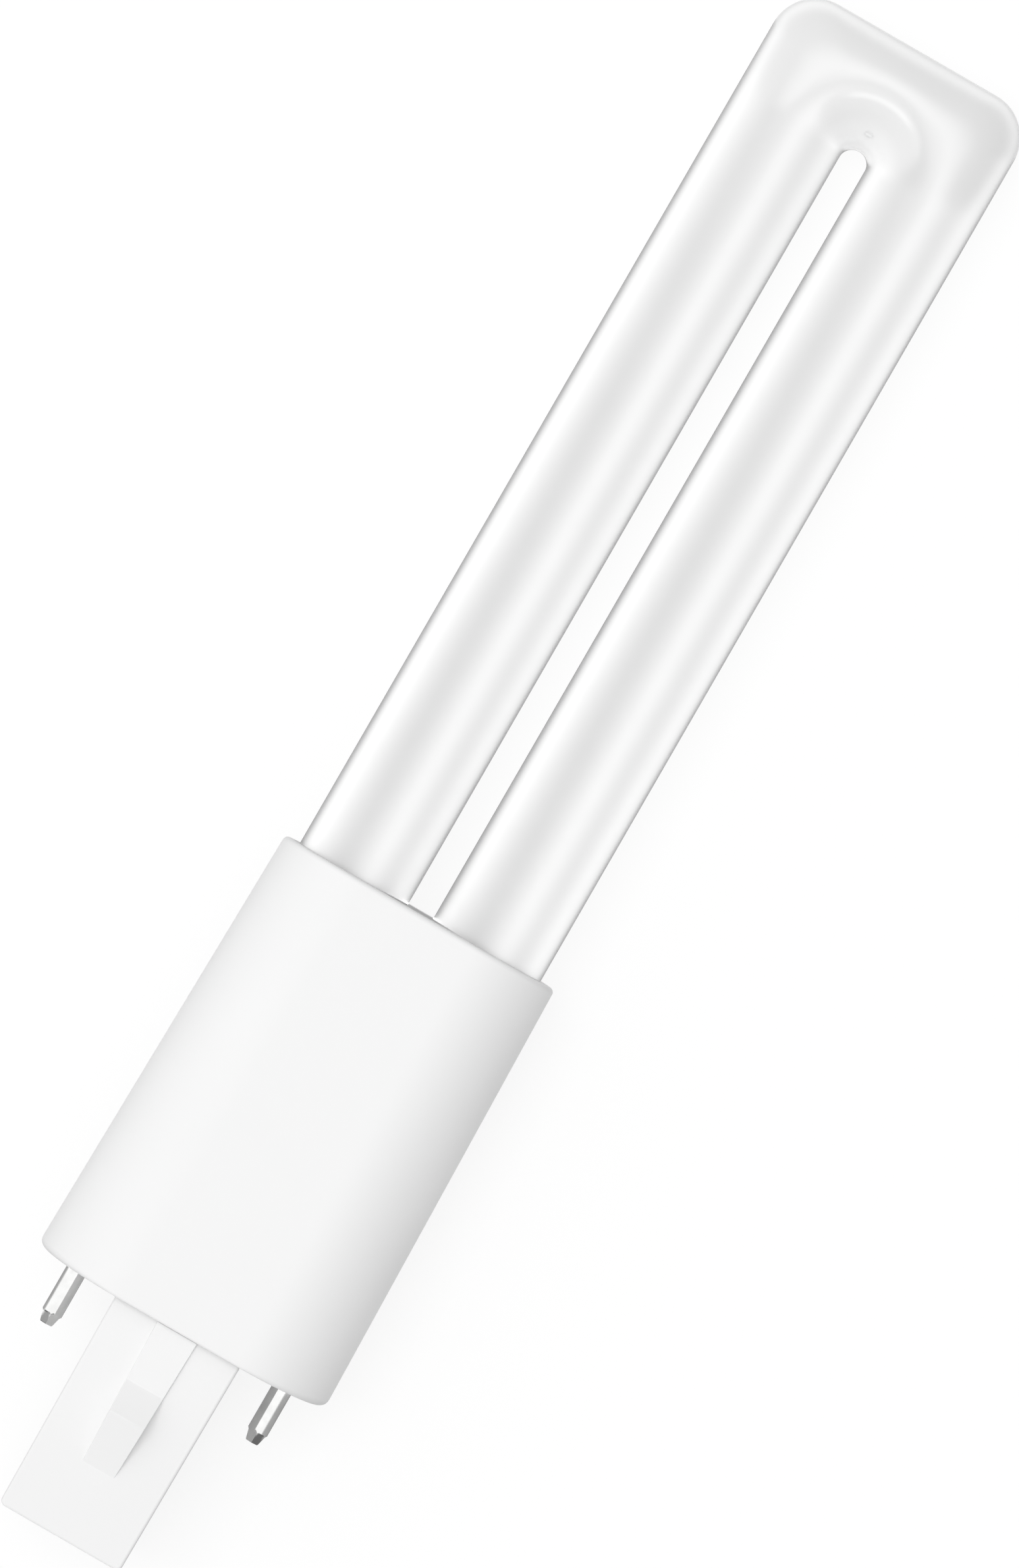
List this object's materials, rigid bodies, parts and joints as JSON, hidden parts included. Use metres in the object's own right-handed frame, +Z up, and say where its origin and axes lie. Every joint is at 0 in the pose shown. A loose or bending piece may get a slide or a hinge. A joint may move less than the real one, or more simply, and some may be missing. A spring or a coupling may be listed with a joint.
{
  "type": "led plug-in lamp",
  "caption": "Plug-in lamp with a folded opal tube, a tapered white housing, and a guide post between round contact pins.",
  "frame": {"origin": "on the ground under the middle of the lamp's box, with the lamp lying on its back", "axes": "+X from the cap to the head of the tube, +Z up out of the lamp's front, +Y towards the left pin"},
  "size_m": [0.1656, 0.032, 0.02],
  "materials": {
    "opal_tube": "glossy opal",
    "white_housing": "satin white moulding",
    "nickel": "bright nickel plate on brass",
    "white_board": "white solder mask",
    "led_phosphor": "yellow phosphor",
    "green_board": "green solder mask",
    "can_sleeve": "shrink sleeve",
    "film_case": "dipped case",
    "resistor_coat": "flameproof coat",
    "ferrite": "matt sintered",
    "copper": "enamelled copper wire",
    "black_resin": "moulded resin",
    "tinned_wire": "tinned",
    "wire_cover": "white insulation"
  },
  "bodies": {
    "root": {"tube": "opal_tube", "housing_sleeve": "white_housing", "base_cap": "white_housing", "contact_pin_left": "nickel", "contact_pin_right": "nickel", "led_board_left": "white_board", "led_board_right": "white_board", "driver_board": "green_board", "electrolytic_capacitor": "can_sleeve", "capacitor_lead_left": "tinned_wire", "capacitor_lead_right": "tinned_wire", "film_capacitor": "film_case", "fuse_resistor": "resistor_coat", "choke_core": "ferrite", "choke_winding": "copper", "bridge_rectifier": "black_resin", "driver_chip": "black_resin", "pin_wire_left": "wire_cover", "pin_wire_right": "wire_cover", "led_wire_left_inner": "wire_cover", "led_wire_left_outer": "wire_cover", "led_wire_right_inner": "wire_cover", "led_wire_right_outer": "wire_cover", "led_left_01": "led_phosphor", "led_left_02": "led_phosphor", "led_left_03": "led_phosphor", "led_left_04": "led_phosphor", "led_left_05": "led_phosphor", "led_left_06": "led_phosphor", "led_left_07": "led_phosphor", "led_left_08": "led_phosphor", "led_left_09": "led_phosphor", "led_left_10": "led_phosphor", "led_left_11": "led_phosphor", "led_left_12": "led_phosphor", "led_right_01": "led_phosphor", "led_right_02": "led_phosphor", "led_right_03": "led_phosphor", "led_right_04": "led_phosphor", "led_right_05": "led_phosphor", "led_right_06": "led_phosphor", "led_right_07": "led_phosphor", "led_right_08": "led_phosphor", "led_right_09": "led_phosphor", "led_right_10": "led_phosphor", "led_right_11": "led_phosphor", "led_right_12": "led_phosphor"}
  },
  "joints": []
}
